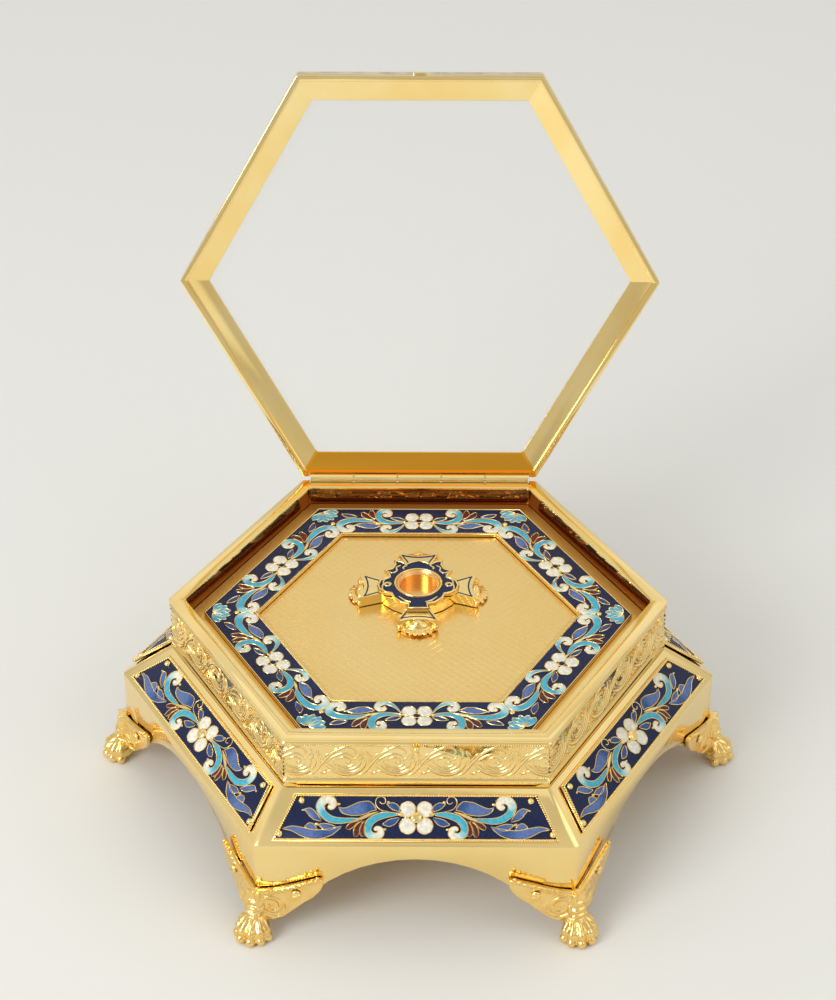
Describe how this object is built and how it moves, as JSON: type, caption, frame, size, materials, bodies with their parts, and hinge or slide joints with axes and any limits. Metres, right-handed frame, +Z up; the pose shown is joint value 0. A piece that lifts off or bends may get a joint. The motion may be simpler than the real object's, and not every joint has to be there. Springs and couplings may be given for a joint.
{
  "type": "reliquary casket",
  "caption": "Hexagonal gilt reliquary casket on lion paw feet, with a hinged glass lid, enamel plaques and ring, and a small cross with a relic capsule.",
  "frame": {"origin": "on the floor, in the middle of the box round the whole casket with its lid open", "axes": "+Z up from the feet to the lid; the front faces -Y and the hinge is at the back; two corners of the hexagon point along +X and -X"},
  "size_m": [0.2378, 0.2254, 0.2259],
  "materials": {
    "gilt": "polished gilding",
    "cast_gilt": "cast, chased and gilt",
    "copper_gilt": "satin gilding with a copper tone",
    "enamel": "glossy navy enamel with coloured cells between gilt wires",
    "glass": "clear, polished"
  },
  "bodies": {
    "case": {"plinth": "gilt", "case_body": "gilt", "inner_tray": "gilt", "enamel_ring": "enamel", "latch_ball": "gilt", "relic_cross": "gilt", "relic_cartouche": "enamel", "relic_capsule": "copper_gilt", "arm_ornament_1": "cast_gilt", "arm_ornament_2": "cast_gilt", "arm_ornament_3": "cast_gilt", "arm_ornament_4": "cast_gilt", "hinge_leaf_case": "gilt", "hinge_pin": "gilt", "enamel_plaque_1": "enamel", "enamel_plaque_2": "enamel", "enamel_plaque_3": "enamel", "enamel_plaque_4": "enamel", "enamel_plaque_5": "enamel", "enamel_plaque_6": "enamel", "plaque_screw_1": "gilt", "plaque_screw_2": "gilt", "plaque_screw_3": "gilt", "plaque_screw_4": "gilt", "plaque_screw_5": "gilt", "plaque_screw_6": "gilt", "foot_1": "cast_gilt", "foot_2": "cast_gilt", "foot_3": "cast_gilt", "foot_4": "cast_gilt", "foot_5": "cast_gilt", "foot_6": "cast_gilt", "foot_screw_1": "gilt", "foot_screw_2": "gilt", "foot_screw_3": "gilt", "foot_screw_4": "gilt", "foot_screw_5": "gilt", "foot_screw_6": "gilt", "foot_screw_7": "gilt", "foot_screw_8": "gilt", "foot_screw_9": "gilt", "foot_screw_10": "gilt", "foot_screw_11": "gilt", "foot_screw_12": "gilt"},
    "lid": {"lid_frame": "gilt", "lid_glass": "glass", "hinge_leaf_lid": "gilt"}
  },
  "joints": [
    {"name": "lid_hinge", "type": "hinge", "parent": "case", "child": "lid", "pos_m": [0, 0.07059, 0.07215], "axis": [1, 0, 0], "range_deg": [0, 102.9]}
  ]
}
